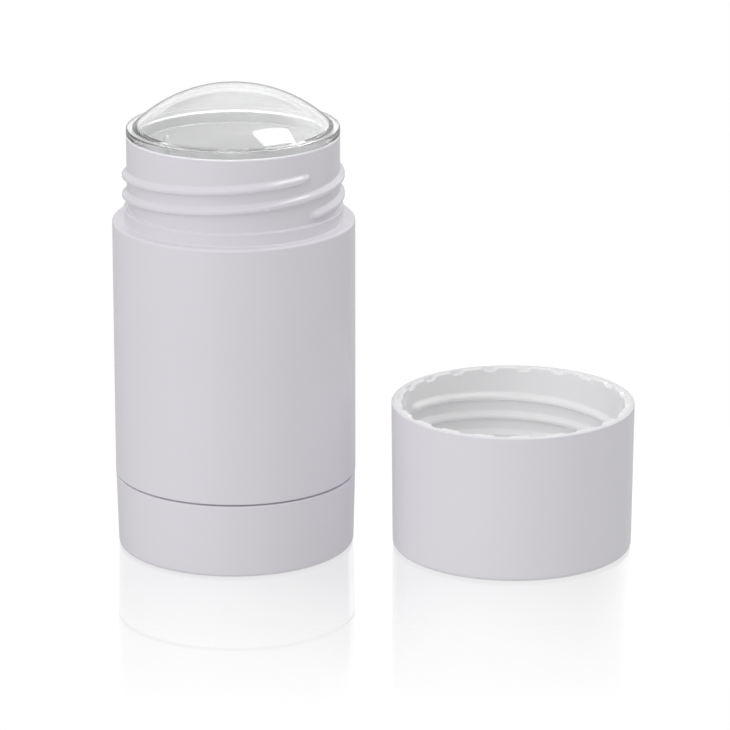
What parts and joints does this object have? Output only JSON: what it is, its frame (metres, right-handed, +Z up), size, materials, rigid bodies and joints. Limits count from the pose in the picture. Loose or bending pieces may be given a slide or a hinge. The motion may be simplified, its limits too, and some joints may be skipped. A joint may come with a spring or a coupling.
{
  "type": "twist-up deodorant stick container",
  "caption": "Round twist-up stick container with a turning base, lead screw, lifting platform, clear domed inner lid on a threaded neck, and a loose screw cap standing mouth up.",
  "frame": {"origin": "centre of the turning base's underside, on the container's axis, on the surface it stands on", "axes": "+Z up along the container's axis; +X from the container towards the loose cap; the front faces -Y"},
  "size_m": [0.1079, 0.0526, 0.0977],
  "materials": {
    "body_white": "satin gloss, moulded",
    "dial_white": "satin gloss, moulded",
    "cap_white": "satin gloss, moulded",
    "lid_clear": "clear, polished",
    "spindle_white": "as moulded",
    "platform_white": "as moulded"
  },
  "bodies": {
    "container": {"barrel": "body_white"},
    "dial": {"base_dial": "dial_white", "spindle": "spindle_white"},
    "platform": {"platform": "platform_white"},
    "lid": {"dome_lid": "lid_clear"},
    "cap": {"cap": "cap_white"}
  },
  "joints": [
    {"name": "dial_turn", "type": "hinge", "parent": "container", "child": "dial", "pos_m": [0, 0, 0], "axis": [0, 0, 1], "range_deg": [0, 5040]},
    {"name": "platform_lift", "type": "slide", "parent": "container", "child": "platform", "axis": [0, 0, 1], "range_m": [0, 0.056]},
    {"name": "lid_lift", "type": "slide", "parent": "container", "child": "lid", "axis": [0, 0, 1], "range_m": [0, 0.03]},
    {"name": "cap_lift", "type": "slide", "parent": "container", "child": "cap", "axis": [0, 0, 1], "range_m": [0, 0.04]}
  ],
  "couplings": [
    {"joint": "platform_lift", "follows": "dial_turn", "m_per_rad": 0.00063662}
  ]
}
